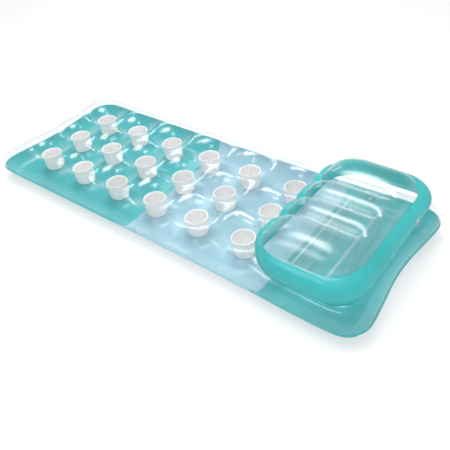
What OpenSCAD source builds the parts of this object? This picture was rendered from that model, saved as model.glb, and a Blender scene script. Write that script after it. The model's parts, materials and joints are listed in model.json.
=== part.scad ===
// Inflatable pool lounge: a pocketed air mattress with a box pillow welded on its head end.
// Millimetres. Origin under the middle of the float, on the water line it rests on.
// +X runs from foot to head, +Y across, +Z up.

/* [Mattress] */
// Overall length, seam to seam
float_l = 1900; // [1880:1:1930]
// Overall width, seam to seam
float_w = 712; // [700:1:740]
// Inflated thickness of the mattress
float_h = 125; // [115:1:135]
// Corner radius of the inflated body, in plan
corner_r = 90; // [80:1:110]
// Width of the welded lip around each chamber
weld_w = 6; // [4:0.5:8]
// Thickness that the vinyl film is drawn at
film = 1; // [0.8:0.1:1.2]
// Where the foot panel of the bottom sheet meets the middle panel, along X
foot_split_x = -132; // [-134:1:-129]
// Where the middle panel meets the head panel, along X
head_split_x = 540; // [480:1:580]

/* [Pockets] */
// Pockets along the mattress
pocket_rows = 6; // [5:1:6]
// Pockets across the mattress
pocket_cols = 3; // [3]
// Spacing of the pockets along the mattress
row_pitch = 226.4; // [215:0.2:230]
// Spacing of the pockets across the mattress
col_pitch = 178; // [168:1:184]
// Middle of the pocket grid, along X
grid_x = -172; // [-180:1:-165]
// Inside radius of a pocket at its rim
pocket_rim_r = 43; // [41:0.5:45]
// Inside radius of a pocket at its floor
pocket_floor_r = 40; // [37:0.5:41]
// Height of a pocket's floor above the water line
pocket_floor_z = 24; // [20:1:28]
// Height of a pocket's rim above the water line
pocket_rim_z = 97; // [90:1:102]
// Radius at which the sheets start to dip towards a pocket
dimple_r = 72; // [66:1:74]

/* [Head webs] */
// Positions of the two cross webs under the pillow, along X
head_web_x = [625, 754];
// Length of a cross web
head_web_l = 420; // [300:10:480]
// Width of a web's welded flange
web_flange_w = 22; // [12:1:30]

/* [Pillow] */
// Middle of the pillow, along X
pillow_x = 702; // [696:0.5:706]
// Size of the pillow's lower seam along X
pillow_l = 372; // [350:2:376]
// Size of the pillow's lower seam along Y
pillow_w = 640; // [610:2:650]
// Corner radius of the pillow's lower seam
pillow_corner_r = 105; // [95:1:115]
// Height of the pillow's lower seam
pillow_seam_z = 140; // [138:1:145]
// Height of the side band
band_h = 83; // [78:1:90]
// How far the upper seam lies inside the lower one
band_lean = 17; // [12:1:20]
// How far the side band bulges out from the line between its seams
band_bulge = 32; // [26:1:34]
// Rise of the top sheet above the upper seam
pillow_dome = 45; // [38:1:48]
// Depth of the sewn-in grooves of the top sheet
groove_depth = 27; // [18:1:30]
// Positions of the three webs that pull the grooves down, along Y
pillow_web_y = [-111, 0, 116];
// Ends of the pillow webs, along X
pillow_web_x = [575, 830];

/* [Air valves] */
// Place of the pillow valve's middle along Y
pillow_valve_y = 125; // [60:1:200]
// Place of the mattress valve's middle along X
mattress_valve_x = 650; // [500:1:780]
// How far the mattress valve points below level, in degrees
mattress_valve_tilt = 30; // [20:1:35]
// Radius of the flat seat that the collar is welded to
seat_r = 17; // [16:0.5:18]
// Depth of that seat below the bulging sheet
seat_depth = 3; // [3:0.2:4]
// Outside radius of the push-in stem
stem_r = 6.5; // [6:0.1:7]
// Bore radius of the stem
stem_bore_r = 4.35; // [4.2:0.05:4.5]
// Height of the stem above its seat when pulled out
stem_h = 13; // [13:0.5:15]
// How far the stem pushes in, to where it lies in use
stem_travel = 8.5; // [7:0.5:8.5]
// Running clearance between stem and collar
stem_gap = 0.08; // [0.05:0.01:0.1]
// Distance from the stem's axis to the strap's fold
strap_reach = 14; // [14:0.5:16]

/* [Hidden] */
$fn = 48;
CUPS = [for (row = [1:pocket_rows]) for (col = [1:pocket_cols]) [row, col]];

half_h = float_h / 2;
body_l = float_l - 2 * weld_w;
body_w = float_w - 2 * weld_w;
pillow_top_seam_z = pillow_seam_z + band_h;
pillow_belly = pillow_seam_z - float_h;
window_l = pillow_l - 2 * band_lean;
window_w = pillow_w - 2 * band_lean;
window_r = pillow_corner_r - band_lean;
band_chord = norm([band_h, band_lean]);
band_arc_r = (pow(band_chord / 2, 2) + pow(band_bulge, 2)) / (2 * band_bulge);
band_arc_x = -band_lean / 2 - (band_arc_r - band_bulge) * band_h / band_chord;
band_arc_z = band_h / 2 - (band_arc_r - band_bulge) * band_lean / band_chord;
rim_weld_r = pocket_rim_r + 7;
web_dip_l = pillow_web_x[1] - pillow_web_x[0] - 40;
pillow_web_mid_x = (pillow_web_x[0] + pillow_web_x[1]) / 2;
collar_h = 1.2;
boss_h = 2.5;
stop_r = stem_r + 2;
stem_foot_z = -6;
flap_r = 5.5;
flap_pivot_x = 6.2;
flap_h = 0.6;
lug_h = 1.5;
plug_h = 2;
plug_depth = 7;
plug_tip_r = 2.8;
strap_w = 5;
teal = [0.24, 0.71, 0.72];
pale_blue = [0.64, 0.80, 0.86];
clear = [0.86, 0.95, 0.97, 0.35];
white = [0.93, 0.94, 0.94];
pink = [0.80, 0.33, 0.58];

function cup_name(c) = str("pocket_cup_", c[0], "_", c[1]);
function cup_at(c) = [
    grid_x + (c[0] - (pocket_rows + 1) / 2) * row_pitch,
    (c[1] - (pocket_cols + 1) / 2) * col_pitch
];

// ---- shared shapes ----

// Sweeps a 2D profile round a rectangle l by w with corners of radius r. The profile's X is the
// distance outwards from the corner's centre, its Y is height; nothing of it lies below X = 0.
module swept(l, w, r) {
    for (side = [0, 1]) {
        rotate(180 * side) translate([l / 2 - r, w / 2 - r, 0])
            rotate([90, 0, 0]) linear_extrude(w - 2 * r) children();
        rotate(180 * side) translate([-(l / 2 - r), w / 2 - r, 0])
            rotate([90, 0, 90]) linear_extrude(l - 2 * r) children();
    }
    for (sx = [-1, 1]) for (sy = [-1, 1])
        translate([sx * (l / 2 - r), sy * (w / 2 - r), 0])
            rotate(sx > 0 ? (sy > 0 ? 0 : 270) : (sy > 0 ? 90 : 180))
                rotate_extrude(angle = 90) children();
}

// Upper half of an inflated slab: flat on top, rounded down to its seam at z = 0
module puffed(l, w, r, edge) {
    translate([-l / 2 + r, -w / 2 + r, 0]) cube([l - 2 * r, w - 2 * r, edge]);
    swept(l, w, r) {
        square([r - edge, edge]);
        intersection() {
            translate([r - edge, 0]) circle(edge);
            translate([r - edge, 0]) square(edge);
        }
    }
}

// The welded lip of one sheet: a flat ring outside the seam, thickness upwards from z = 0
module weld_lip(l, w, r) {
    swept(l, w, r) translate([r - film, 0]) square([weld_w + film, film]);
}

// A cone that dips from radius top_r at the level z = 0 down to radius low_r at z = -depth
module dip(low_r, top_r, depth) {
    slope = (top_r - low_r) / depth;
    translate([0, 0, -depth]) cylinder(h = depth + 10, r1 = low_r, r2 = top_r + 10 * slope);
}

// The same dip drawn out along X over a length
module long_dip(length, low_r, top_r, depth) {
    slope = (top_r - low_r) / depth;
    out_r = top_r + 10 * slope;
    for (end = [-1, 1]) translate([end * length / 2, 0, 0]) dip(low_r, top_r, depth);
    translate([-length / 2, 0, 0]) rotate([90, 0, 90]) linear_extrude(length)
        polygon([[-low_r, -depth], [low_r, -depth], [out_r, 10], [-out_r, 10]]);
}

// An I-shaped web along X: a thin wall with a welded flange at its foot and its head
module i_web(length, height, flange_w) {
    translate([-length / 2, -film / 2, 0]) cube([length, film, height]);
    for (z = [0, height - film]) translate([-length / 2, -flange_w / 2, z])
        cube([length, flange_w, film]);
}

// Puts a valve's own frame, +Z out of the chamber, on its seat
module at_mattress_valve() {
    out = half_h - seat_depth;
    translate([mattress_valve_x, body_w / 2 - half_h, half_h])
        rotate([-90 - mattress_valve_tilt, 0, 0]) translate([0, 0, out]) children();
}

module at_pillow_valve() {
    out = pillow_l / 2 + band_arc_x + band_arc_r - seat_depth;
    translate([pillow_x + out, pillow_valve_y, pillow_seam_z + band_arc_z]) rotate([0, 90, 0]) children();
}

// Puts the stem and what it carries where they lie in use
module pushed_in() {
    translate([0, 0, -stem_travel]) children();
}

// ---- mattress ----

// Half of the mattress's air space above z = 0, shrunk by inset, with a dip over each pocket
module mattress_half(inset) {
    depth = float_h - pocket_rim_z;
    difference() {
        puffed(body_l - 2 * inset, body_w - 2 * inset, corner_r - inset, half_h - inset);
        for (c = CUPS) translate([cup_at(c)[0], cup_at(c)[1], half_h - inset])
            dip(rim_weld_r + inset, dimple_r + inset, depth);
    }
}

module mattress_top_sheet() {
    color(clear) translate([0, 0, half_h]) difference() {
        union() {
            difference() {
                mattress_half(0);
                mattress_half(film);
            }
            weld_lip(body_l, body_w, corner_r);
        }
        for (c = CUPS) translate([cup_at(c)[0], cup_at(c)[1], 0]) cylinder(h = float_h, r = pocket_rim_r);
    }
}

// The whole bottom sheet, before it is parted into its three panels
module bottom_sheet() {
    difference() {
        union() {
            translate([0, 0, half_h]) mirror([0, 0, 1]) {
                difference() {
                    bottom_half(0);
                    bottom_half(film);
                }
                weld_lip(body_l, body_w, corner_r);
            }
        }
        at_mattress_valve() translate([0, 0, -5]) cylinder(h = 10, r = stem_r + 1);
    }
}

// Half of the air space below the seam, drawn upwards, with the pocket dips and the valve's flat seat
module bottom_half(inset) {
    depth = pocket_floor_z - 2 * film;
    difference() {
        puffed(body_l - 2 * inset, body_w - 2 * inset, corner_r - inset, half_h - inset);
        for (c = CUPS) translate([cup_at(c)[0], cup_at(c)[1], half_h - inset])
            dip(rim_weld_r + inset, dimple_r + inset, depth);
        mirror([0, 0, 1]) translate([0, 0, -half_h]) at_mattress_valve()
            translate([0, 0, -inset]) cylinder(h = 20, r = seat_r + inset);
    }
}

module panel_between(x0, x1) {
    intersection() {
        bottom_sheet();
        translate([x0, -float_w, -10]) cube([x1 - x0, 2 * float_w, float_h]);
    }
}

module bottom_foot_panel() {
    color(teal) panel_between(-float_l, foot_split_x);
}

module bottom_middle_panel() {
    color(pale_blue) panel_between(foot_split_x, head_split_x);
}

module bottom_head_panel() {
    color(teal) panel_between(head_split_x, float_l);
}

// One pocket: floor, tapering wall and the rim that is welded under the top sheet
module pocket_cup(c) {
    base = pocket_floor_z - film;
    rim = pocket_rim_z - film;
    color(white) translate([cup_at(c)[0], cup_at(c)[1], 0]) rotate_extrude() polygon([
        [0, base], [pocket_floor_r + 5, base], [pocket_floor_r + 5, base + film],
        [pocket_floor_r + film, base + film], [pocket_rim_r + film, rim - film],
        [rim_weld_r - 2, rim - film], [rim_weld_r - 2, rim], [pocket_rim_r, rim],
        [pocket_floor_r, base + film], [0, base + film]
    ]);
}

module head_web(x) {
    color(clear) translate([x, 0, film]) rotate(90) i_web(head_web_l, float_h - 2 * film, web_flange_w);
}

module head_web_front() { head_web(head_web_x[0]); }

module head_web_rear() { head_web(head_web_x[1]); }

// ---- pillow ----

// Upper part of the pillow's air space, above its upper seam at z = 0, with its three grooves
module pillow_dome_solid(inset) {
    difference() {
        puffed(window_l - 2 * inset, window_w - 2 * inset, window_r - inset, pillow_dome - inset);
        for (y = pillow_web_y) translate([pillow_web_mid_x - pillow_x, y, pillow_dome - inset])
            long_dip(web_dip_l, 5 + inset, 20 + inset, groove_depth);
    }
}

module pillow_top_sheet() {
    color(clear) translate([pillow_x, 0, pillow_top_seam_z]) {
        difference() {
            pillow_dome_solid(0);
            pillow_dome_solid(film);
        }
        weld_lip(window_l, window_w, window_r);
    }
}

// The pillow's middle, from the lower to the upper seam, bulging outwards by an arc
module band_solid(inset) {
    translate([pillow_x, 0, pillow_seam_z]) {
        translate([-pillow_l / 2 + pillow_corner_r, -pillow_w / 2 + pillow_corner_r, 0])
            cube([pillow_l - 2 * pillow_corner_r, pillow_w - 2 * pillow_corner_r, band_h]);
        swept(pillow_l, pillow_w, pillow_corner_r) {
            polygon([[0, 0], [pillow_corner_r - 12, 0], [window_r - 5, band_h], [0, band_h]]);
            intersection() {
                translate([pillow_corner_r + band_arc_x, band_arc_z]) circle(band_arc_r - inset);
                translate([10, 0]) square([pillow_corner_r + band_bulge, band_h]);
            }
        }
    }
}

module pillow_side_band() {
    color(teal) difference() {
        union() {
            difference() {
                band_solid(0);
                at_pillow_valve() cylinder(h = 20, r = seat_r);
            }
            translate([pillow_x, 0, pillow_top_seam_z - film]) weld_lip(window_l, window_w, window_r);
            translate([pillow_x, 0, pillow_seam_z]) weld_lip(pillow_l, pillow_w, pillow_corner_r);
        }
        difference() {
            band_solid(film);
            at_pillow_valve() translate([0, 0, -film]) cylinder(h = 20, r = seat_r + film);
        }
        at_pillow_valve() translate([0, 0, -5]) cylinder(h = 10, r = stem_r + 1);
    }
}

module pillow_bottom_sheet() {
    color(clear) translate([pillow_x, 0, pillow_seam_z]) mirror([0, 0, 1]) {
        difference() {
            puffed(pillow_l, pillow_w, pillow_corner_r, pillow_belly);
            puffed(pillow_l - 2 * film, pillow_w - 2 * film, pillow_corner_r - film, pillow_belly - film);
        }
        weld_lip(pillow_l, pillow_w, pillow_corner_r);
    }
}

module pillow_web(y) {
    top = pillow_top_seam_z + pillow_dome - groove_depth - film;
    foot = float_h + film;
    color(clear) translate([pillow_web_mid_x, y, foot]) i_web(web_dip_l, top - foot, 10);
}

module pillow_web_near() { pillow_web(pillow_web_y[0]); }

module pillow_web_middle() { pillow_web(pillow_web_y[1]); }

module pillow_web_far() { pillow_web(pillow_web_y[2]); }

// ---- air valves, in their own frame, with the stem pulled out ----

// Welded disc with a raised boss that guides the stem
module valve_collar() {
    color(white) difference() {
        union() {
            cylinder(h = collar_h, r = seat_r - 2);
            cylinder(h = boss_h, r = stem_r + 2.5);
        }
        translate([0, 0, -1]) cylinder(h = 10, r = stem_r + stem_gap);
    }
}

// Tube that is pushed in to lie flush, with a stop inside the film and an arm for the strap
module valve_stem() {
    color(white) difference() {
        union() {
            translate([0, 0, stem_foot_z]) cylinder(h = stem_h - stem_foot_z, r = stem_r);
            translate([0, 0, -2 * film - 0.2]) cylinder(h = film, r = stop_r);
            translate([0, -strap_w / 2, stem_h - lug_h]) cube([strap_reach - 0.3, strap_w, lug_h]);
        }
        translate([0, 0, stem_foot_z - 1]) cylinder(h = stem_h - stem_foot_z + 2, r = stem_bore_r);
    }
}

// Thin disc that air pressure holds against the stem's inner end
module valve_flap() {
    color(white) translate([0, 0, stem_foot_z - flap_h]) {
        cylinder(h = flap_h, r = flap_r);
        translate([0, -2, 0]) cube([flap_pivot_x, 4, flap_h]);
    }
}

// Tapered stopper with its head and the strap that it swings on
module valve_plug() {
    color(pink) translate([0, 0, stem_h]) {
        translate([0, 0, -plug_depth]) cylinder(h = plug_depth, r1 = plug_tip_r, r2 = stem_bore_r - 0.1);
        cylinder(h = plug_h, r = stem_r);
        translate([0, -strap_w / 2, 0]) cube([strap_reach, strap_w, collar_h]);
    }
}

mattress_top_sheet();
bottom_foot_panel();
bottom_middle_panel();
bottom_head_panel();
for (c = CUPS) pocket_cup(c);
head_web_front();
head_web_rear();
pillow_top_sheet();
pillow_side_band();
pillow_bottom_sheet();
pillow_web_near();
pillow_web_middle();
pillow_web_far();
at_mattress_valve() valve_collar();  // mattress_valve_collar
at_mattress_valve() pushed_in() valve_stem();  // mattress_valve_stem
at_mattress_valve() pushed_in() valve_flap();  // mattress_valve_flap
at_mattress_valve() pushed_in() valve_plug();  // mattress_valve_plug
at_pillow_valve() valve_collar();  // pillow_valve_collar
at_pillow_valve() pushed_in() valve_stem();  // pillow_valve_stem
at_pillow_valve() pushed_in() valve_flap();  // pillow_valve_flap
at_pillow_valve() pushed_in() valve_plug();  // pillow_valve_plug
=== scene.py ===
"""Inflatable pool lounge: clear-topped air mattress with white pockets and a banded head pillow."""

import json
import math

import bmesh
import bpy
import numpy as np
from mathutils import Matrix, Vector, noise


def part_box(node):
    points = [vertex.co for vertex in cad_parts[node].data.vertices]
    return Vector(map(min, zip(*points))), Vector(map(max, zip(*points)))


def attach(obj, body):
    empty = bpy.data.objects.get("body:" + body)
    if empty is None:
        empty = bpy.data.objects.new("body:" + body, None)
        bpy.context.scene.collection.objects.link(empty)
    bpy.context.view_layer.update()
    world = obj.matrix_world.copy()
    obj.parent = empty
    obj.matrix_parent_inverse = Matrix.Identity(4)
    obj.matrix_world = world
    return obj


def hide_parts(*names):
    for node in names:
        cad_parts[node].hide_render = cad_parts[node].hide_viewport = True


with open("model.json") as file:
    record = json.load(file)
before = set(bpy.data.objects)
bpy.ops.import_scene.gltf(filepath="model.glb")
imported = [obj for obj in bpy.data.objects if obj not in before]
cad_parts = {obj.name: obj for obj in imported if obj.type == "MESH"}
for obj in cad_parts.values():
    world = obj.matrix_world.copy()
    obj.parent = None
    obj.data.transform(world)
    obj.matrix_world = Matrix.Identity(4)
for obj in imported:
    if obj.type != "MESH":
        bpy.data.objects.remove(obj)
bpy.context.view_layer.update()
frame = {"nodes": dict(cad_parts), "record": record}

# ---------------------------------------------------------------- sizes, from the frame, in metres

ROWS, COLS = 6, 3
SHEET_LOW, SHEET_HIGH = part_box("mattress_top_sheet")
FLOAT_L = SHEET_HIGH.x - SHEET_LOW.x
FLOAT_W = SHEET_HIGH.y - SHEET_LOW.y
SEAM_Z = SHEET_LOW.z
TOP_Z = SHEET_HIGH.z


def cup_name(row, col):
    return f"pocket_cup_{row + 1}_{col + 1}"


def cup_centre(row, col):
    low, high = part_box(cup_name(row, col))
    return (low + high) / 2


CUP_LOW, CUP_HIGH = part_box(cup_name(0, 0))
FLOOR_Z = CUP_LOW.z + 0.001
RIM_Z = CUP_HIGH.z + 0.001
RIM_R = 0.0445
FOOT_R = 0.0405
ROW_X = [cup_centre(r, 0).x for r in range(ROWS)]
COL_Y = [cup_centre(0, c).y for c in range(COLS)]
PITCH_X = ROW_X[1] - ROW_X[0]
PITCH_Y = COL_Y[1] - COL_Y[0]
GRID_X0, GRID_X1 = ROW_X[0] - PITCH_X / 2, ROW_X[-1] + PITCH_X / 2
GRID_Y = COL_Y[-1] + PITCH_Y / 2
LIP = 0.005
HALF_L, HALF_W = FLOAT_L / 2 - LIP, FLOAT_W / 2 - LIP
CORNER_R = 0.088
END_HOLLOW = HALF_W - CORNER_R * 0.6  # half the width of the hollow in each end
FOOT_SPLIT_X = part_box("bottom_foot_panel")[1].x
HEAD_SPLIT_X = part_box("bottom_head_panel")[0].x
WEB_X = [sum((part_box(n)[i].x for i in (0, 1))) / 2 for n in ("head_web_front", "head_web_rear")]
WEB_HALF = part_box("head_web_front")[1].y

# ---------------------------------------------------------------- camera


def add_camera():
    """The viewing angle: from beside the head end, looking down along the float."""
    yaw, pitch, roll = math.radians(132.392), math.radians(40.375), math.radians(-7.0845)
    forward = Vector((math.cos(pitch) * math.cos(yaw), math.cos(pitch) * math.sin(yaw), -math.sin(pitch)))
    right = forward.cross(Vector((0, 0, 1))).normalized()
    up = right.cross(forward)
    across = right * math.cos(roll) + up * math.sin(roll)
    over = up * math.cos(roll) - right * math.sin(roll)
    data = bpy.data.cameras.new("camera")
    data.sensor_width = 36
    data.lens = 42.654
    camera = bpy.data.objects.new("camera", data)
    turn = Matrix((across, over, -forward)).transposed().to_4x4()
    camera.matrix_world = Matrix.Translation((1.32907, -1.29293, 1.40251)) @ turn
    bpy.context.scene.collection.objects.link(camera)
    bpy.context.scene.camera = camera


add_camera()

# ---------------------------------------------------------------- materials


def node_material(name):
    material = bpy.data.materials.new(name)
    material.use_nodes = True
    tree = material.node_tree
    tree.nodes.clear()
    return material, tree


def add_node(tree, kind, **values):
    """A node with its inputs set by name, or attributes where no input has that name."""
    node = tree.nodes.new(kind)
    for key, value in values.items():
        if key in node.inputs:
            node.inputs[key].default_value = value
        else:
            setattr(node, key, value)
    return node


def object_noise(tree, scale, detail=3.0, stretch=(1, 1, 1)):
    """Noise over the object's own coordinates."""
    place = add_node(tree, "ShaderNodeTexCoord")
    mapping = add_node(tree, "ShaderNodeMapping", Scale=stretch)
    tree.links.new(place.outputs["Object"], mapping.inputs["Vector"])
    cloud = add_node(tree, "ShaderNodeTexNoise", Scale=scale, Detail=detail)
    tree.links.new(mapping.outputs["Vector"], cloud.inputs["Vector"])
    return cloud


def ramp(tree, source, stops):
    node = add_node(tree, "ShaderNodeValToRGB")
    elements = node.color_ramp.elements
    while len(elements) < len(stops):
        elements.new(0.5)
    for element, (place, colour) in zip(elements, stops):
        element.position = place
        element.color = (*colour, 1) if len(colour) == 3 else colour
    tree.links.new(source, node.inputs["Fac"])
    return node


def bump(tree, source, strength, distance):
    node = add_node(tree, "ShaderNodeBump", Strength=strength, Distance=distance)
    tree.links.new(source, node.inputs["Height"])
    return node


def vinyl(name, colour, rough=0.3, coat=0.5, spread=0.08, glow=0.0, painted_light=0.0):
    """Glossy vinyl: slow colour drift, faint calender ripple and a clear gloss coat. glow is the share of
    light that passes through the film. The emission strength is painted light: a glow in the vinyl's own
    colour that brightens it, though it is no lamp."""
    material, tree = node_material(name)
    drift = object_noise(tree, 4.0)
    dark = tuple(c * (1 - spread) for c in colour)
    light = tuple(min(1, c * (1 + spread)) for c in colour)
    tint = ramp(tree, drift.outputs["Fac"], [(0.3, dark), (0.7, light)])
    ripple = object_noise(tree, 55.0, 2.0)
    relief = bump(tree, ripple.outputs["Fac"], 0.12, 0.002)
    smear = object_noise(tree, 14.0, 4.0)
    gloss = ramp(tree, smear.outputs["Fac"], [(0.3, (rough * 0.8,) * 3), (0.7, (rough * 1.25,) * 3)])
    # Emission in the tint's colour is painted light: it brightens the vinyl beyond what the lamps give.
    shader = add_node(
        tree,
        "ShaderNodeBsdfPrincipled",
        **{"Coat Weight": coat, "Coat Roughness": 0.08, "IOR": 1.5, "Emission Strength": painted_light},
    )
    tree.links.new(tint.outputs["Color"], shader.inputs["Base Color"])
    tree.links.new(tint.outputs["Color"], shader.inputs["Emission Color"])
    tree.links.new(gloss.outputs["Color"], shader.inputs["Roughness"])
    tree.links.new(relief.outputs["Normal"], shader.inputs["Normal"])
    surface = shader.outputs["BSDF"]
    if glow:
        passed = add_node(tree, "ShaderNodeBsdfTranslucent")
        tree.links.new(tint.outputs["Color"], passed.inputs["Color"])
        mixed = add_node(tree, "ShaderNodeMixShader", Fac=glow)
        tree.links.new(surface, mixed.inputs[1])
        tree.links.new(passed.outputs["BSDF"], mixed.inputs[2])
        surface = mixed.outputs["Shader"]
    out = add_node(tree, "ShaderNodeOutputMaterial")
    tree.links.new(surface, out.inputs["Surface"])
    return material


FILM_MIRROR = 0.06  # what both faces of a film reflect of light that meets it head on
HEAD_ON = (0.985, 0.995, 0.995)  # what a film passes of light that meets it head on
SLANTED = (0.955, 0.95, 0.95)  # on the slant
GRAZING = (0.72, 0.71, 0.71)  # and at a grazing angle


def clear_film(name, body=0.03, edge=0.13, tint=(0.80, 0.88, 0.94), rough=0.2, wrinkle=0.05):
    """Clear vinyl film: see-through, glossy by Fresnel, and slightly milky where seen on the slant."""
    material, tree = node_material(name)
    ripple = object_noise(tree, 38.0, 2.0)
    relief = bump(tree, ripple.outputs["Fac"], wrinkle, 0.003)
    gloss = add_node(tree, "ShaderNodeBsdfGlossy", Roughness=rough, Color=(1, 1, 1, 1))
    tree.links.new(relief.outputs["Normal"], gloss.inputs["Normal"])
    lit = add_node(tree, "ShaderNodeBsdfDiffuse", Color=(*tint, 1))
    passed = add_node(tree, "ShaderNodeBsdfTranslucent", Color=(*tint, 1))
    milk = add_node(tree, "ShaderNodeMixShader", Fac=0.5)
    tree.links.new(lit.outputs["BSDF"], milk.inputs[1])
    tree.links.new(passed.outputs["BSDF"], milk.inputs[2])
    depth = add_node(tree, "ShaderNodeLayerWeight", Blend=0.3)
    passes = [(0, HEAD_ON), (0.3, HEAD_ON), (0.6, SLANTED), (1, GRAZING)]
    tone = ramp(tree, depth.outputs["Facing"], passes)
    through = add_node(tree, "ShaderNodeBsdfTransparent")
    tree.links.new(tone.outputs["Color"], through.inputs["Color"])
    slant = add_node(tree, "ShaderNodeLayerWeight", Blend=0.2)
    haze = add_node(tree, "ShaderNodeMapRange", **{"To Min": body, "To Max": edge})
    tree.links.new(slant.outputs["Facing"], haze.inputs["Value"])
    veil = add_node(tree, "ShaderNodeMixShader")
    tree.links.new(haze.outputs["Result"], veil.inputs["Fac"])
    tree.links.new(through.outputs["BSDF"], veil.inputs[1])
    tree.links.new(milk.outputs["Shader"], veil.inputs[2])
    tilt = add_node(tree, "ShaderNodeLayerWeight", Blend=0.5)
    tree.links.new(relief.outputs["Normal"], tilt.inputs["Normal"])
    fall = add_node(tree, "ShaderNodeMath", operation="POWER")
    tree.links.new(tilt.outputs["Facing"], fall.inputs[0])
    fall.inputs[1].default_value = 5
    mirror = add_node(tree, "ShaderNodeMapRange", **{"To Min": FILM_MIRROR, "To Max": 1.0})
    tree.links.new(fall.outputs["Value"], mirror.inputs["Value"])
    film = add_node(tree, "ShaderNodeMixShader")
    tree.links.new(mirror.outputs["Result"], film.inputs["Fac"])
    tree.links.new(veil.outputs["Shader"], film.inputs[1])
    tree.links.new(gloss.outputs["BSDF"], film.inputs[2])
    out = add_node(tree, "ShaderNodeOutputMaterial")
    tree.links.new(film.outputs["Shader"], out.inputs["Surface"])
    return material


teal_vinyl = vinyl("teal_vinyl", (0.050, 0.42, 0.44), coat=0.2, glow=0.4)
# The band and the white cups carry painted light: an emission that brightens them, though they are no lamps.
band_vinyl = vinyl("band_teal_vinyl", (0.065, 0.49, 0.495), coat=0.2, glow=0.5, painted_light=0.12)
pale_vinyl = vinyl("pale_blue_vinyl", (0.30, 0.50, 0.585), coat=0.2, glow=0.3)
white_vinyl = vinyl(
    "white_vinyl", (0.84, 0.83, 0.825), rough=0.6, coat=0.0, spread=0.03, glow=0.35, painted_light=0.14
)
valve_vinyl = vinyl("valve_vinyl", (0.42, 0.66, 0.68), rough=0.35, coat=0.2, spread=0.03, glow=0.2)
plug_vinyl = vinyl("plug_vinyl", (0.62, 0.08, 0.30), rough=0.35, coat=0.2, spread=0.05)
mattress_film = clear_film("mattress_clear_film")
pillow_film = clear_film("pillow_clear_film", body=0.012, edge=0.10, rough=0.26)
web_film = clear_film("web_clear_film", body=0.05, edge=0.12, tint=(1, 1, 1), rough=0.3)
weld_film = clear_film("weld_clear_film", body=0.4, edge=0.5, tint=(1, 1, 1), rough=0.3)

# ---------------------------------------------------------------- mesh helpers


def make_object(name, points, faces, material):
    mesh = bpy.data.meshes.new(name)
    mesh.from_pydata([tuple(p) for p in points], [], [tuple(f) for f in faces])
    mesh.validate()
    mesh.shade_smooth()
    mesh.materials.append(material)
    obj = bpy.data.objects.new(name, mesh)
    bpy.context.scene.collection.objects.link(obj)
    return obj


def subdivide(obj, levels=1):
    modifier = obj.modifiers.new("smooth", "SUBSURF")
    modifier.levels = modifier.render_levels = levels
    modifier.boundary_smooth = "PRESERVE_CORNERS"


def smoothstep(value, low, high):
    t = np.clip((np.asarray(value, float) - low) / (high - low), 0, 1)
    return t * t * (3 - 2 * t)


class Patchwork:
    """Collects quads whose corners are points in the plan, sharing corners that coincide."""

    def __init__(self):
        self.points, self.faces, self.index = [], [], {}

    def corner(self, x, y):
        key = (round(x * 1e5), round(y * 1e5))
        if key not in self.index:
            self.index[key] = len(self.points)
            self.points.append((x, y))
        return self.index[key]

    def grid(self, rows, closed=False):
        """Quads between successive rows of points."""
        ids = [[self.corner(*p) for p in row] for row in rows]
        count = len(ids[0])
        for a, b in zip(ids, ids[1:]):
            for i in range(count if closed else count - 1):
                j = (i + 1) % count
                self.faces.append((a[i], a[j], b[j], b[i]))
        return ids


def line(start, end, count):
    return [start + (end - start) * i / count for i in range(count + 1)]


# ---------------------------------------------------------------- plan of the mattress sheets

CELL_NX, CELL_NY = 20, 16  # quads along a pocket's cell
RING_STEPS = 8  # quads from a pocket's rim out to the edge of its cell
FOOT_STEPS, HEAD_STEPS, SIDE_STEPS = 3, 34, 2  # quads from the pockets out to the tube at each edge
ARC_STEPS = 10  # quads round the quarter tube along each edge
TUBE_R = TOP_Z - SEAM_Z


def cell_edge(cx, cy):
    """Points round one pocket's cell, anticlockwise from its lower right corner."""
    hx, hy = PITCH_X / 2, PITCH_Y / 2
    right = [(cx + hx, y) for y in line(cy - hy, cy + hy, CELL_NY)[:-1]]
    top = [(x, cy + hy) for x in line(cx + hx, cx - hx, CELL_NX)[:-1]]
    left = [(cx - hx, y) for y in line(cy + hy, cy - hy, CELL_NY)[:-1]]
    low = [(x, cy - hy) for x in line(cx - hx, cx + hx, CELL_NX)[:-1]]
    return right + top + left + low


def strip(start, end, count):
    """Places from start out to a seam at end: evenly spaced, then following the tube's quarter arc."""
    way = math.copysign(1, end - start)
    flat_end = end - way * TUBE_R
    turns = [math.pi / 2 * k / ARC_STEPS for k in range(1, ARC_STEPS + 1)]
    return line(start, flat_end, count) + [flat_end + way * TUBE_R * math.sin(turn) for turn in turns]


def cell_lines(centres, pitch, count):
    """Grid lines over a run of cells, all but the last one."""
    return [at for c in centres for at in line(c - pitch / 2, c + pitch / 2, count)[:-1]]


def mattress_plan(hole_r):
    """Plan of a mattress sheet with a round hole of hole_r at each pocket: points, quads, hole rings."""
    plan, rings = Patchwork(), []
    for cx in ROW_X:
        for cy in COL_Y:
            edge = cell_edge(cx, cy)
            count = len(edge)
            first = -CELL_NY / 2 * 2 * math.pi / count
            turns = [first + 2 * math.pi * k / count for k in range(count)]
            ring = [(cx + hole_r * math.cos(turn), cy + hole_r * math.sin(turn)) for turn in turns]
            rows = []
            for step in range(RING_STEPS + 1):
                t = step / RING_STEPS
                rows.append([(a + (c - a) * t, b + (d - b) * t) for (a, b), (c, d) in zip(ring, edge)])
            rings.append(plan.grid(rows, closed=True)[0])
    ys = cell_lines(COL_Y, PITCH_Y, CELL_NY) + [GRID_Y]
    foot = strip(GRID_X0, -HALF_L, FOOT_STEPS)[::-1]
    head = strip(GRID_X1, HALF_L, HEAD_STEPS)
    xs = foot[:-1] + cell_lines(ROW_X, PITCH_X, CELL_NX) + head
    for span in (foot, head):
        plan.grid([[(x, y) for x in span] for y in ys])
    for side in (-1, 1):
        plan.grid([[(x, side * y) for x in xs] for y in strip(GRID_Y, HALF_W, SIDE_STEPS)])
    return np.array(plan.points), plan.faces, rings


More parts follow.
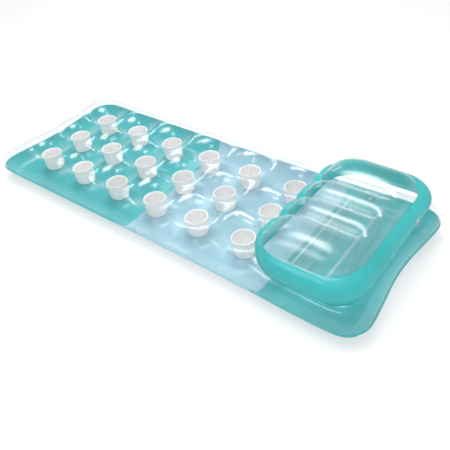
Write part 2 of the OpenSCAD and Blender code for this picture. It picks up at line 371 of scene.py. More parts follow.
def outline_ids(faces):
    """Corners on the open edges of a mesh, as loops of indices in order."""
    uses, following = {}, {}
    for f in faces:
        for a, b in zip(f, f[1:] + f[:1]):
            uses[(a, b)] = True
    for a, b in uses:
        if (b, a) not in uses:
            following[a] = b
    loops, left = [], set(following)
    while left:
        start = at = min(left)
        loop = []
        while at in left:
            left.discard(at)
            loop.append(at)
            at = following[at]
        loops.append(loop)
    return loops


def facing_up(points, faces):
    """The same faces, all turned so that they run anticlockwise in the plan."""
    turned = []
    for f in faces:
        a, b, c = (points[i] for i in f[:3])
        area = (b[0] - a[0]) * (c[1] - a[1]) - (b[1] - a[1]) * (c[0] - a[0])
        turned.append(tuple(f) if area > 0 else tuple(reversed(f)))
    return turned


def flipped(faces):
    return [tuple(reversed(f)) for f in faces]


def round_corners(points, half_l, half_w, radius):
    """Bends the plan's square corners onto round ones."""
    out = points.copy()
    a = (np.abs(points[:, 0]) - (half_l - radius)) / radius
    b = (np.abs(points[:, 1]) - (half_w - radius)) / radius
    m = (a > 0) & (b > 0)
    out[m, 0] = np.sign(points[m, 0]) * (half_l - radius + radius * a[m] * np.sqrt(1 - b[m] ** 2 / 2))
    out[m, 1] = np.sign(points[m, 1]) * (half_w - radius + radius * b[m] * np.sqrt(1 - a[m] ** 2 / 2))
    return out


END_DRAW, WAIST_DRAW = 0.024, 0.006  # how far the ends and the sides are pulled in
WEB_SPREAD, WEB_REACH = 0.007, 0.17  # how far the sides spread at the webs, and over what length


def draw_in(points):
    """Pulls the ends in between their corners, and the sides too, but less where no pocket holds them."""
    out = points.copy()
    x, y = points[:, 0], points[:, 1]
    near_end = smoothstep(np.abs(x), HALF_L - 0.20, HALF_L)
    hollow = np.cos(math.pi / 2 * np.clip(np.abs(y) / END_HOLLOW, 0, 1)) ** 2
    out[:, 0] -= np.sign(x) * near_end * END_DRAW * hollow
    side = smoothstep(np.abs(y), HALF_W - 0.12, HALF_W)
    waist = WAIST_DRAW * (1 - np.clip(np.abs(x) / HALF_L, 0, 1) ** 2)
    spread = WEB_SPREAD * np.exp(-(((x - WEB_X[1]) / WEB_REACH) ** 2))
    out[:, 1] += np.sign(y) * side * (spread - waist)
    return out


# ---------------------------------------------------------------- inflation


SIM_STEPS = 400
PRESSURE = 0.30  # against a stiffness of 1 along the sides of a quad
BRACE_STIFF = 0.35  # along its diagonals
CRUMPLE_STIFF = 0.03  # share of its stiffness that a film keeps when it is shortened
EASE = 0.004  # a slight pull that keeps the quads even
PACE, KEPT_SPEED = 0.35, 0.985  # of each step


def edge_list(faces):
    """Sides of the quads, and their diagonals."""
    sides, braces = set(), set()
    for f in faces:
        for a, b in zip(f, f[1:] + f[:1]):
            sides.add((min(a, b), max(a, b)))
        if len(f) == 4:
            braces.add((min(f[0], f[2]), max(f[0], f[2])))
            braces.add((min(f[1], f[3]), max(f[1], f[3])))
    return np.array(sorted(sides)), np.array(sorted(braces - sides))


def inflate(points, faces, held, slack, out, low, high=None):
    """Lets a film settle under air pressure from its built shape: stiff stretched, limp shortened.

    slack is how much longer than built the film is, at each point or everywhere. held marks the points
    that welds hold. out is the side that the air pushes to, +1 up or -1 down. low and high are the lowest
    and highest z that each point may take, where the film lies on something."""
    p = points.copy()
    quads = np.array([f for f in faces if len(f) == 4])
    sides, braces = edge_list(faces)
    pairs = np.vstack([sides, braces])
    stiff = np.concatenate([np.full(len(sides), 1.0), np.full(len(braces), BRACE_STIFF)])
    a, b = pairs.T
    slack = np.zeros(len(points)) + slack
    rest = np.linalg.norm(points[b] - points[a], axis=1) * (slack[a] + slack[b]) / 2 + 1e-6
    count = len(p)
    free = ~held
    speed = np.zeros_like(p)
    for _ in range(SIM_STEPS):
        d = p[b] - p[a]
        length = np.sqrt((d * d).sum(1)) + 1e-12
        stretch = length / rest - 1
        felt = np.where(stretch > 0, stretch, stretch * CRUMPLE_STIFF)
        pull = stiff * felt * rest + EASE * stiff * length
        force_e = d * (pull / length)[:, None]
        c1 = p[quads[:, 2]] - p[quads[:, 0]]
        c2 = p[quads[:, 3]] - p[quads[:, 1]]
        push = np.cross(c1, c2) * (PRESSURE * out / 8)
        total = np.zeros_like(p)
        for axis in range(3):
            along = force_e[:, axis]
            total[:, axis] = np.bincount(a, along, count) - np.bincount(b, along, count)
            for k in range(4):
                total[:, axis] += np.bincount(quads[:, k], push[:, axis], count)
        speed = (speed + total * PACE) * KEPT_SPEED
        speed[held] = 0
        p[free] += speed[free] * PACE
        p[free, 2] = np.maximum(p[free, 2], low[free])
        if high is not None:
            p[free, 2] = np.minimum(p[free, 2], high[free])
    return p


# ---------------------------------------------------------------- valve seats

STRAP_REACH, STEM_TOP = 0.014, 0.0045  # from the middle of a valve's seat, aside and up to its strap's fold
SEAT_R = 0.021  # of the film laid flat round a valve, well past its collar
SEAT_EDGE = 1.7  # where the film is back in its free shape, in seat radii
SEAT_FILM = 0.0006  # how far below the collar the film lies
HOLE_R = 0.0076  # of the opening that the stem passes through
PLUG_NEAR, PLUG_FAR = 0.010, 0.018  # the film is lowered out to here where the open plug hangs
PLUG_DEPTH = 0.002  # and by at least this below the seat
VALVE_ZONE = 0.035  # nothing farther from a valve belongs to it


def valve_seat(valve):
    """Middle of the flat seat that a valve's collar is welded to, its outward direction and its strap's."""
    joints = {j["name"]: j for j in frame["record"]["behaviour"]["joints"]}
    out = Vector(joints[f"{valve}_valve_push"]["axis"])
    swing = joints[f"{valve}_plug_swing"]
    strap = Vector(swing["axis"]).cross(out)
    return Vector(swing["pos_m"]) - strap * STRAP_REACH - out * STEM_TOP, out, strap


def flatten_seat(points, place, out, strap):
    """Moves the film round a valve onto the valve's flat seat, and clear of the plug when it hangs open."""
    axis = np.array(out)

    def measured(spot):
        away = points - np.array(spot)
        height = away @ axis
        return height, np.linalg.norm(away - height[:, None] * axis, axis=1)

    height, aside = measured(place)
    share = (1 - smoothstep(aside, SEAT_R, SEAT_R * SEAT_EDGE)) * (np.abs(height) < 0.03)
    points = points - (share * (height + SEAT_FILM))[:, None] * axis
    beyond = smoothstep(aside, SEAT_R, SEAT_R + 0.006)
    height, aside = measured(place + strap * 2 * STRAP_REACH)
    share = (1 - smoothstep(aside, PLUG_NEAR, PLUG_FAR)) * beyond * (np.abs(height) < 0.03)
    return points + (share * np.minimum(-height - PLUG_DEPTH, 0))[:, None] * axis


def cut_valve_hole(obj, place, out):
    """Opens the film where a valve's stem passes through it."""
    mesh = bmesh.new()
    mesh.from_mesh(obj.data)
    side = out.orthogonal().normalized()
    other = out.cross(side)

    def aside(face):
        away = face.calc_center_median() - place
        return (away - out * away.dot(out)).length if away.length < VALVE_ZONE else math.inf

    for k in range(8):
        turn = math.pi * k / 4
        normal = side * math.cos(turn) + other * math.sin(turn)
        faces = [f for f in mesh.faces if aside(f) < HOLE_R + 0.012]
        edges = list(dict.fromkeys(e for f in faces for e in f.edges))
        corners = list(dict.fromkeys(v for f in faces for v in f.verts))
        bmesh.ops.bisect_plane(
            mesh, geom=faces + edges + corners, plane_co=place + normal * HOLE_R, plane_no=normal, dist=1e-6
        )
    hole = [f for f in mesh.faces if aside(f) < HOLE_R * 0.98]
    bmesh.ops.delete(mesh, geom=hole, context="FACES")
    mesh.to_mesh(obj.data)
    mesh.free()


# ---------------------------------------------------------------- mattress sheets

TOP_SLACK, BOTTOM_SLACK = 1.024, 1.005  # how much longer each film is than the smooth shape it starts from
DIMPLE = 0.055  # how far a pocket's dip reaches from its rim
WEB_DIP = 0.010  # how far a cross web holds the sheet in
BOTTOM_TUCK = 0.75  # 0 for a round lower edge, 1 for a straight slope up to the seam
ROUND_BY_VALVE = 0.07  # length along X over which the edge stays round beside the valve
HEAD_STEP = (HALF_L - TUBE_R - GRID_X1) / HEAD_STEPS
REST_Z = 0.0005  # lowest point of the film
BELLY_GAP = 0.0008  # between the mattress and the pillow that lies on it
LOWER_LIP_DROP = 0.0006  # keeps the bottom sheet's lip below the top sheet's


def cup_distance(plan):
    """Distance of each point of a plan from the nearest pocket's axis."""
    away = np.full(len(plan), 9.0)
    for cx in ROW_X:
        for cy in COL_Y:
            away = np.minimum(away, np.hypot(plan[:, 0] - cx, plan[:, 1] - cy))
    return away


def under_pillow(plan, margin):
    """Marks the points of a plan that lie under the pillow."""
    inside_x = np.abs(plan[:, 0] - BASE.middle) < BASE.half_l - margin
    return inside_x & (np.abs(plan[:, 1]) < BASE.half_w - margin)


def mattress_sheet(hole_r, hole_z, out):
    """One inflated mattress sheet, +1 the top or -1 the bottom, with the plan it started from."""
    flat, faces, rings = mattress_plan(hole_r)
    plan = draw_in(round_corners(flat, HALF_L, HALF_W, CORNER_R))
    faces = facing_up(plan, faces)
    ring_ids = {i for ring in rings for i in ring}
    rim_ids = [loop for loop in outline_ids(faces) if not set(loop) & ring_ids][0]
    points = np.zeros((len(plan), 3))
    points[:, :2] = plan
    full = TUBE_R if out > 0 else SEAM_Z
    inner = np.minimum(HALF_L - np.abs(flat[:, 0]), HALF_W - np.abs(flat[:, 1]))
    gap = np.clip(inner / full, 0, 1)
    rise = np.sqrt(1 - (1 - gap) ** 2)
    if out < 0:
        valve = valve_seat("mattress")[0]
        beside = np.exp(-(((plan[:, 0] - valve.x) / ROUND_BY_VALVE) ** 2)) * (plan[:, 1] > 0)
        rise = rise + (gap - rise) * BOTTOM_TUCK * (1 - beside)
    points[:, 2] = SEAM_Z + out * full * rise
    dip = 1 - smoothstep(cup_distance(plan) - hole_r, 0, DIMPLE)
    points[:, 2] += dip * (hole_z - points[:, 2])
    held = np.zeros(len(plan), bool)
    held[rim_ids] = True
    points[rim_ids, 2] = SEAM_Z
    for ring in rings:
        held[ring] = True
        points[ring, 2] = hole_z
    for x in WEB_X:
        near = (np.abs(flat[:, 0] - x) < HEAD_STEP * 0.51) & (np.abs(flat[:, 1]) < WEB_HALF)
        held[near] = True
        points[near, 2] = SEAM_Z + out * (full - WEB_DIP)
    low = np.full(len(plan), REST_Z)
    high = np.where(under_pillow(plan, 0.05), BELLY_Z - BELLY_GAP, np.inf)
    points[:, 2] = np.clip(points[:, 2], low, high)
    slack = np.where(under_pillow(plan, 0.02), 1.0, TOP_SLACK) if out > 0 else BOTTOM_SLACK
    points = inflate(points, faces, held, slack, out, low, high)
    return points, faces, rings, rim_ids


def add_lip(points, faces, loop, drop=0.0):
    """A flat welded lip outside a loop of corners, its outer edge lowered by drop."""
    ring = np.array([points[i] for i in loop])
    along = np.roll(ring, -1, 0) - np.roll(ring, 1, 0)
    along[:, 2] = 0
    along /= np.linalg.norm(along, axis=1)[:, None]
    outward = np.stack([along[:, 1], -along[:, 0], np.zeros(len(along))], 1)
    middle = ring.mean(0)
    if ((ring - middle) * outward).sum() < 0:
        outward = -outward
    start = len(points)
    lip = ring + outward * LIP
    lip[:, 2] -= drop
    points = np.vstack([points, lip])
    count = len(loop)
    extra = []
    for i in range(count):
        j = (i + 1) % count
        extra.append((loop[i], start + i, start + j, loop[j]))
    return points, list(faces) + facing_up(points, extra)


def build_top_sheet():
    points, faces, rings, rim = mattress_sheet(RIM_R, RIM_Z, 1.0)
    points, faces = add_lip(points, faces, rim)
    sheet = make_object("mattress_clear_top", points, faces, mattress_film)
    subdivide(sheet)
    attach(sheet, "float")
    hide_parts("mattress_top_sheet")


def add_disc(points, faces, ring):
    """Closes a ring of corners with a flat disc, below a pocket's floor."""
    centre = points[ring].mean(0)
    start = len(points)
    count = len(ring)
    inner = centre + (points[ring] - centre) * 0.5
    points = np.vstack([points, inner, centre[None]])
    disc = []
    for i in range(count):
        j = (i + 1) % count
        disc.append((ring[i], ring[j], start + j, start + i))
        disc.append((start + i, start + j, start + count))
    return points, faces + facing_up(points, disc)


def keep_between(obj, x0, x1):
    """Cuts a sheet straight across at x0 and at x1, and keeps what lies between."""
    mesh = bmesh.new()
    mesh.from_mesh(obj.data)
    for x, side in ((x0, -1), (x1, 1)):
        bmesh.ops.bisect_plane(
            mesh,
            geom=mesh.verts[:] + mesh.edges[:] + mesh.faces[:],
            plane_co=(x, 0, 0),
            plane_no=(side, 0, 0),
            clear_outer=True,
            dist=1e-5,
        )
    mesh.to_mesh(obj.data)
    mesh.free()


def build_bottom_sheet():
    """The bottom sheet, inflated in one piece and then cut along its two straight joins."""
    points, faces, rings, rim = mattress_sheet(FOOT_R, FLOOR_Z - 0.001, -1.0)
    points, faces = add_lip(points, faces, rim, LOWER_LIP_DROP)
    for ring in rings:
        points, faces = add_disc(points, faces, ring)
    faces = flipped(faces)
    seat, outward, strap = valve_seat("mattress")
    points = flatten_seat(points, seat, outward, strap)
    foot, split, joint, head = -FLOAT_L, FOOT_SPLIT_X, HEAD_SPLIT_X, FLOAT_L
    panels = (
        ("foot_panel_teal", foot, split, teal_vinyl, "bottom_foot_panel", "teal_film"),
        ("middle_panel_pale", split, joint, pale_vinyl, "bottom_middle_panel", "pale_blue_film"),
        ("head_panel_teal", joint, head, teal_vinyl, "bottom_head_panel", "teal_film"),
    )
    for name, x0, x1, material, node, slot in panels:
        panel = make_object(name, points, faces, material)
        keep_between(panel, x0, x1)
        if name == "head_panel_teal":
            cut_valve_hole(panel, seat, outward)
        panel.data.shade_smooth()
        subdivide(panel)
        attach(panel, "float")
        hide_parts(node)


# ---------------------------------------------------------------- pockets

PLEATS = 22
CUP_SIDES = PLEATS * 6
CUP_FILM = 0.0005


def cup_profile():
    """Radius, height and depth of the pleats, from the floor out and up to the rim and over it."""
    floor, rim = FLOOR_Z, RIM_Z
    return [
        (0.009, floor + 0.0006, 0),
        (0.018, floor + 0.0006, 0),
        (0.027, floor + 0.0006, 0),
        (FOOT_R - 0.005, floor + 0.0006, 0),
        (FOOT_R - 0.001, floor + 0.0015, 0.3),
        (FOOT_R, floor + 0.007, 0.8),
        (FOOT_R + 0.0006, floor + 0.020, 1),
        (FOOT_R + 0.0012, floor + 0.034, 1),
        (FOOT_R + 0.0018, floor + 0.048, 1),
        (RIM_R - 0.0035, rim - 0.013, 0.9),
        (RIM_R - 0.0028, rim - 0.006, 0.6),
        (RIM_R - 0.0022, rim - 0.001, 0.3),
        (RIM_R - 0.0016, rim + 0.0004, 0.15),
        (RIM_R - 0.0006, rim + 0.0009, 0.1),
        (RIM_R + 0.0008, rim + 0.0008, 0.1),
        (RIM_R + 0.0016, rim + 0.0001, 0.1),
        (RIM_R + 0.0012, rim - 0.0008, 0.1),
    ]


def build_pocket(row, col):
    """A white film cup: crumpled floor, pleated wall and a thicker rim ring."""
    centre = cup_centre(row, col)
    seed = Vector((row * 3.7, col * 5.3, 1.9))
    profile = cup_profile()
    points, faces = [], []
    for r, z, pleat in profile:
        for k in range(CUP_SIDES):
            turn = 2 * math.pi * k / CUP_SIDES
            where = Vector((math.cos(turn), math.sin(turn), z * 14)) + seed
            wobble = noise.noise(where * 1.6) * 0.0012
            fold = math.cos(PLEATS * turn + 2.2 * noise.noise(where * 0.9)) * 0.0011
            creased = noise.noise(where * 4.5) * 0.0012
            radius = r + pleat * (fold + wobble + creased)
            height = z
            if r < FOOT_R - 0.002:
                crumple = Vector((math.cos(turn) * r, math.sin(turn) * r, 0)) * 70 + seed
                height += abs(noise.noise(crumple)) * 0.0035
            points.append((centre.x + radius * math.cos(turn), centre.y + radius * math.sin(turn), height))
    hub = len(points)
    points.append((centre.x, centre.y, FLOOR_Z + 0.001))
    for k in range(CUP_SIDES):
        faces.append((hub, k, (k + 1) % CUP_SIDES))
    for level in range(len(profile) - 1):
        for k in range(CUP_SIDES):
            j = (k + 1) % CUP_SIDES
            a, b = level * CUP_SIDES, (level + 1) * CUP_SIDES
            faces.append((a + k, b + k, b + j, a + j))
    cup = make_object(f"pocket_{row + 1}_{col + 1}", points, faces, white_vinyl)
    thick = cup.modifiers.new("film", "SOLIDIFY")
    thick.thickness = CUP_FILM
    thick.offset = -1
    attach(cup, "float")
    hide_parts(cup_name(row, col))


# ---------------------------------------------------------------- pillow

WINDOW_LOW, WINDOW_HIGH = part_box("pillow_top_sheet")
BAND_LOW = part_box("pillow_side_band")[0]
BASE_LOW, BASE_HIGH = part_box("pillow_bottom_sheet")
UPPER_SEAM, LOWER_SEAM = WINDOW_LOW.z, BAND_LOW.z
DOME_Z, BELLY_Z = WINDOW_HIGH.z, BASE_LOW.z
PILLOW_WEBS = ["pillow_web_near", "pillow_web_middle", "pillow_web_far"]
PILLOW_WEB_Y = [(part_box(n)[0].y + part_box(n)[1].y) / 2 for n in PILLOW_WEBS]
PILLOW_WEB_X0, PILLOW_WEB_X1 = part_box(PILLOW_WEBS[0])[0].x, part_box(PILLOW_WEBS[0])[1].x
PILLOW_WEB_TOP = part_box(PILLOW_WEBS[0])[1].z
PILLOW_NX, PILLOW_NY = 36, 72  # quads along and across a pillow sheet
BAND_BULGE, FOOT_CORNER_BULGE, HEAD_CORNER_BULGE = 0.032, 0.018, 0.034
BAND_LEVELS = 16  # quads up the band
LIP_GAP = 0.0003  # between the outer edge of a band's lip and the lip that it is welded to


class Seam:
    """A pillow seam: a rounded rectangle with its own corner radii at the foot and head ends."""

    def __init__(self, low, high, foot_r, head_r, z):
        self.middle = (low.x + high.x) / 2
        self.half_l = (high.x - low.x) / 2 - LIP
        self.half_w = (high.y - low.y) / 2 - LIP
        self.foot_r, self.head_r, self.z = foot_r, head_r, z

    def plan(self, flat):
        """Points of a rectangle of this size, about its own middle, bent onto the round corners."""
        head = round_corners(flat, self.half_l, self.half_w, self.head_r)
        foot = round_corners(flat, self.half_l, self.half_w, self.foot_r)
        return np.where(flat[:, :1] > 0, head, foot)

    def outline(self, corner_steps=14, side_steps=(60, 30)):
        """Points round the seam and their outward directions, with the share of the corner's turn made."""
        made = []
        corners = [(1, 1, 0), (-1, 1, 90), (-1, -1, 180), (1, -1, 270)]
        for k, (sx, sy, start) in enumerate(corners):
            radius = self.head_r if sx > 0 else self.foot_r
            cx, cy = sx * (self.half_l - radius), sy * (self.half_w - radius)
            for i in range(corner_steps + 1):
                turn = math.radians(start + 90 * i / corner_steps)
                c, s = math.cos(turn), math.sin(turn)
                made.append((cx + radius * c, cy + radius * s, c, s, math.sin(math.pi * i / corner_steps)))
            nx, ny = corners[(k + 1) % 4][:2]
            other = self.head_r if nx > 0 else self.foot_r
            turn = math.radians(start + 90)
            c, s = math.cos(turn), math.sin(turn)
            x0, y0 = cx + radius * c, cy + radius * s
            x1, y1 = nx * (self.half_l - other) + other * c, ny * (self.half_w - other) + other * s
            count = side_steps[k % 2]
            for i in range(1, count):
                t = i / count
                made.append((x0 + (x1 - x0) * t, y0 + (y1 - y0) * t, c, s, 0.0))
        made = np.array(made)
        made[:, 0] += self.middle
        return made


WINDOW = Seam(WINDOW_LOW, WINDOW_HIGH, 0.088, 0.125, UPPER_SEAM)
BASE = Seam(BASE_LOW, BASE_HIGH, 0.112, 0.075, LOWER_SEAM)
NOTCH_IN, NOTCH_DOWN, NOTCH_WIDE = 0.020, 0.014, 0.017  # of the window's edge where a web meets it
PILLOW_SLACK = 1.008  # how much longer the window is than the shape it starts from
PILLOW_CROWN = DOME_Z - 0.009  # before the sheet is inflated
PILLOW_END, PILLOW_SIDE = 0.075, 0.045  # how far in from its seam a pillow sheet is rounded


def notched(points):
    """The window's foot edge is drawn in and down where each web meets it."""
    out = points.copy()
    reach = smoothstep(-points[:, 0], -(PILLOW_WEB_X0 + 0.02), -(WINDOW.middle - WINDOW.half_l))
    pull = sum(np.exp(-(((points[:, 1] - web) / NOTCH_WIDE) ** 2)) for web in PILLOW_WEB_Y)
    out[:, 0] += reach * pull * NOTCH_IN
    out[:, 2] -= reach * pull * NOTCH_DOWN
    return out


def pillow_plan(seam):
    """Plan of a pillow sheet, with grid lines on the webs, about the seam's own middle."""
    plan = Patchwork()
    xs = line(-seam.half_l, seam.half_l, PILLOW_NX)
    ys = line(-seam.half_w, seam.half_w, PILLOW_NY)
    for web in PILLOW_WEB_Y:
        nearest = min(range(len(ys)), key=lambda i: abs(ys[i] - web))
        ys[nearest] = web
    plan.grid([[(x, y) for x in xs] for y in ys])
    flat = np.array(plan.points)
    return flat, seam.plan(flat), plan.faces


def groove_profile(y):
    """0 on the lines that the webs hold, rising to 1 on the crowns between them."""
    held = [-WINDOW.half_w] + PILLOW_WEB_Y + [WINDOW.half_w]
    height = np.ones(len(y))
    for low, high in zip(held, held[1:]):
        t = np.clip((y - low) / (high - low), 0, 1)
        lobe = np.sqrt(np.clip(1 - (2 * t - 1) ** 2, 0, 1))
        if low == held[0]:
            lobe = np.where(t < 0.5, 1, lobe)
        if high == held[-1]:
            lobe = np.where(t > 0.5, 1, lobe)
        height = np.where((y >= low) & (y <= high), lobe, height)
    return height


def groove_floor(x):
    """Height of the window along a web: held down by the web, rising to the crown at the head end."""
    reach = 1 - smoothstep(x, PILLOW_WEB_X1 - 0.03, WINDOW.middle + WINDOW.half_l)
    return PILLOW_CROWN + reach * (PILLOW_WEB_TOP - PILLOW_CROWN)


def build_pillow_sheet(name, seam, out, peak, node):
    flat, plan, faces = pillow_plan(seam)
    faces = facing_up(plan, faces)
    rim = outline_ids(faces)[0]
    points = np.zeros((len(plan), 3))
    points[:, :2] = plan
    points[:, 0] += seam.middle
    ends = np.clip((seam.half_l - np.abs(flat[:, 0])) / PILLOW_END, 0, 1)
    sides = np.clip((seam.half_w - np.abs(flat[:, 1])) / PILLOW_SIDE, 0, 1)
    rise = np.sqrt(1 - (1 - ends) ** 2) * np.sqrt(1 - (1 - sides) ** 2)
    held = np.zeros(len(plan), bool)
    held[rim] = True
    crown = np.full(len(plan), peak - seam.z)
    if out > 0:
        x = flat[:, 0] + seam.middle
        crown -= (1 - groove_profile(flat[:, 1])) * (peak - groove_floor(x))
        for web in PILLOW_WEB_Y:
            held |= (np.abs(flat[:, 1] - web) < 1e-6) & (x > PILLOW_WEB_X0 - 0.02) & (x < PILLOW_WEB_X1)
    points[:, 2] = seam.z + crown * rise
    if out > 0:
        points = notched(points)
    low = np.full(len(plan), BELLY_Z)
    points = inflate(points, faces, held, PILLOW_SLACK if out > 0 else 1.0, out, low)
    points, all_faces = add_lip(points, faces, rim)
    sheet = make_object(name, points, all_faces if out > 0 else flipped(all_faces), pillow_film)
    subdivide(sheet)
    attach(sheet, "float")
    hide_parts(node)


def build_band():
    """The side band: an arc from the lower seam to the upper, all round the pillow, puckered at the welds."""
    low, high = BASE.outline(), WINDOW.outline()
    feet = np.column_stack([low[:, :2], np.full(len(low), LOWER_SEAM)])
    heads = notched(np.column_stack([high[:, :2], np.full(len(high), UPPER_SEAM)]))
    level_out = np.column_stack([low[:, 2:4], np.zeros(len(low))])
    outward = level_out.copy()
    chord = heads - feet
    length = np.linalg.norm(chord, axis=1)[:, None]
    chord /= length
    outward -= (outward * chord).sum(1)[:, None] * chord
    outward /= np.linalg.norm(outward, axis=1)[:, None]
    corner = np.where(low[:, 0] > BASE.middle, HEAD_CORNER_BULGE, FOOT_CORNER_BULGE)
    bulge = (BAND_BULGE - (BAND_BULGE - corner) * low[:, 4])[:, None]
    radius = ((length / 2) ** 2 + bulge**2) / (2 * bulge)
    reach = np.arcsin(np.clip(length / 2 / radius, 0, 1))
    rows = [feet + level_out * LIP + (0, 0, LIP_GAP)]
    for level in range(BAND_LEVELS + 1):
        turn = -reach + 2 * reach * level / BAND_LEVELS
        share = 1 - abs(2 * level / BAND_LEVELS - 1)
        proud = radius * np.cos(turn) - radius + bulge
        row = feet + chord * (length / 2 + radius * np.sin(turn)) + outward * proud
        for i, point in enumerate(row):
            where = Vector(point) * 9
            pucker = noise.noise(where * 3.0) * 0.0016 * (1 - share)
            slow = noise.noise(where * 0.6) * 0.004 * share
            row[i] = point + outward[i] * (pucker + slow) * (0 < level < BAND_LEVELS)
        rows.append(row)
    rows.append(heads + np.column_stack([high[:, 2:4], np.zeros(len(high))]) * LIP - (0, 0, LIP_GAP))
    count = len(low)
    faces = []
    for level in range(len(rows) - 1):
        for k in range(count):
            j = (k + 1) % count
            a, b = level * count, (level + 1) * count
            faces.append((a + k, a + j, b + j, b + k))
    seat, valve_out, strap = valve_seat("pillow")
    points = flatten_seat(np.vstack(rows), seat, valve_out, strap)
    band = make_object("pillow_band", points, faces, band_vinyl)
    cut_valve_hole(band, seat, valve_out)
    band.data.shade_smooth()
    subdivide(band)
    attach(band, "float")
    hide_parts("pillow_side_band")


# ---------------------------------------------------------------- webs

WEB_COLUMNS, WEB_LEVELS = 36, 6  # quads along and up a web
FLANGE_HALF = 0.004  # half the width of its welded flange
WEB_GAP = 0.0006  # between its top edge and the sheet above

def build_web(name, node, start, end, low, top):
    """A film wall between two sheets, slightly slack, with its welded flange along the top. top gives the
    height of the upper sheet at a distance along X."""
    start, end = Vector(start), Vector(end)
    along = (end - start).normalized()
    across = Vector((-along.y, along.x))
    rows = []
    for level in range(WEB_LEVELS + 1):
        share = level / WEB_LEVELS
        slack = math.sin(math.pi * share)
        row = []
        for i in range(WEB_COLUMNS + 1):
            at = start.lerp(end, i / WEB_COLUMNS)
            wave = noise.noise(Vector((at.x * 14, at.y * 14, share * 2))) * 0.003 * slack
            at = at + across * wave
            row.append((at.x, at.y, low + (top(at.x) - low) * share))
        rows.append(row)
    points = [p for row in rows for p in row]
    count = WEB_COLUMNS + 1
    faces = []
    for level in range(WEB_LEVELS):
        for i in range(WEB_COLUMNS):
            a, b = level * count + i, (level + 1) * count + i
            faces.append((a, a + 1, b + 1, b))
    walls = len(faces)
    first = len(points)
    for side in (-FLANGE_HALF, 0, FLANGE_HALF):
        for i in range(count):
            at = start.lerp(end, i / WEB_COLUMNS) + across * side
            points.append((at.x, at.y, top(at.x)))
    for row in (first, first + count):
        for i in range(WEB_COLUMNS):
            faces.append((row + i, row + i + 1, row + count + i + 1, row + count + i))
    web = make_object(name, points, faces, web_film)
    web.data.materials.append(weld_film)
    for polygon in web.data.polygons:
        polygon.material_index = int(polygon.index >= walls)
    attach(web, "float")
    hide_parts(node)


def build_webs():
    """Three lengthwise webs in the pillow, and two cross webs in the mattress below it."""
    for node, y in zip(PILLOW_WEBS, PILLOW_WEB_Y):
        name = node.replace("web", "groove_web")
        start, end = (PILLOW_WEB_X0, y), (PILLOW_WEB_X1, y)
        build_web(name, node, start, end, BELLY_Z + 0.001, lambda x: float(groove_floor(x)) - WEB_GAP)
    rise = TUBE_R - WEB_DIP - WEB_GAP
    for node, x in zip(("head_web_front", "head_web_rear"), WEB_X):
        name = node.replace("web", "cross_web")
        start, end = (x, -WEB_HALF), (x, WEB_HALF)
        build_web(name, node, start, end, SEAM_Z - rise, lambda x: SEAM_Z + rise)


# ---------------------------------------------------------------- surroundings


FLOOR_HALF = 12  # half the width of the floor


def build_floor():
    """A plain white floor, softly lit from below like a light table."""
    material, tree = node_material("white_floor")
    cloud = object_noise(tree, 1.5)
    tint = ramp(tree, cloud.outputs["Fac"], [(0.3, (0.32, 0.32, 0.32)), (0.7, (0.34, 0.34, 0.34))])
    shader = add_node(
        tree,
        "ShaderNodeBsdfPrincipled",
        Roughness=0.9,
        **{"Specular IOR Level": 0.1, "Emission Color": (1, 1, 1, 1), "Emission Strength": 0.60},
    )
    tree.links.new(tint.outputs["Color"], shader.inputs["Base Color"])
    out = add_node(tree, "ShaderNodeOutputMaterial")
    tree.links.new(shader.outputs["BSDF"], out.inputs["Surface"])
    corners = [(x * FLOOR_HALF, y * FLOOR_HALF, 0) for x, y in ((-1, -1), (1, -1), (1, 1), (-1, 1))]
    floor = make_object("floor", corners, [(0, 1, 2, 3)], material)


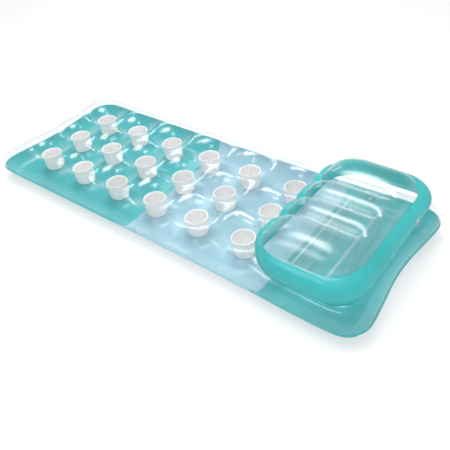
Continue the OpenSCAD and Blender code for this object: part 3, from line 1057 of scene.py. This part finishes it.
def add_light(name, place, aim, size, power, glints=True):
    """A square soft box; one without glints lights the float but isn't mirrored in the film."""
    data = bpy.data.lights.new(name, "AREA")
    data.size = size
    data.energy = power
    light = bpy.data.objects.new(name, data)
    light.location = place
    light.rotation_euler = (Vector(aim) - Vector(place)).to_track_quat("-Z", "Y").to_euler()
    light.visible_glossy = glints
    bpy.context.scene.collection.objects.link(light)


def light_scene():
    """A white horizon under a dimmer sky, soft boxes for the film's gloss and wide ones for fill."""
    scene = bpy.context.scene
    scene.view_settings.view_transform = "Standard"
    world = bpy.data.worlds.new("studio")
    world.use_nodes = True
    tree = world.node_tree
    background = tree.nodes["Background"]
    place = add_node(tree, "ShaderNodeTexCoord")
    split = add_node(tree, "ShaderNodeSeparateXYZ")
    tree.links.new(place.outputs["Generated"], split.inputs["Vector"])
    white, dim = (1, 1, 1), (0.28, 0.29, 0.30)
    sky = ramp(tree, split.outputs["Z"], [(0.0, white), (0.16, white), (0.42, dim), (1, dim)])
    tree.links.new(sky.outputs["Color"], background.inputs["Color"])
    background.inputs["Strength"].default_value = 1.0
    scene.world = world
    add_light("key", (-0.35, 0.75, 3.2), (0, 0, 0), 1.2, 42)
    add_light("glint", (-0.35, 0.75, 3.2), (0, 0, 0), 0.2, 9)
    add_light("rim", (-1.9, 1.84, 1.94), (0, 0, 0), 0.8, 14)
    add_light("near", (-0.33, -1.3, 2.9), (0.4, 0, 0), 0.9, 16)
    add_light("fill", (0.4, -0.4, 3.4), (0, 0, 0), 3.0, 98, glints=False)
    add_light("side", (3.2, -1.2, 1.3), (0.5, 0, 0), 1.6, 22, glints=False)
    add_light("backdrop", (-3.5, 2.5, 3.0), (-3.5, 2.5, 0), 3.0, 45, glints=False)


def dress_valves():
    """The CAD's own valve pieces get their moulded vinyl."""
    for name, obj in frame["nodes"].items():
        if "_valve_" in name:
            for slot in obj.material_slots:
                slot.material = plug_vinyl if name.endswith("plug") else valve_vinyl


build_top_sheet()
build_bottom_sheet()
for row in range(ROWS):
    for col in range(COLS):
        build_pocket(row, col)
build_pillow_sheet("pillow_clear_top", WINDOW, 1.0, PILLOW_CROWN, "pillow_top_sheet")
build_pillow_sheet("pillow_clear_bottom", BASE, -1.0, BELLY_Z, "pillow_bottom_sheet")
build_band()
build_webs()
build_floor()
light_scene()
dress_valves()
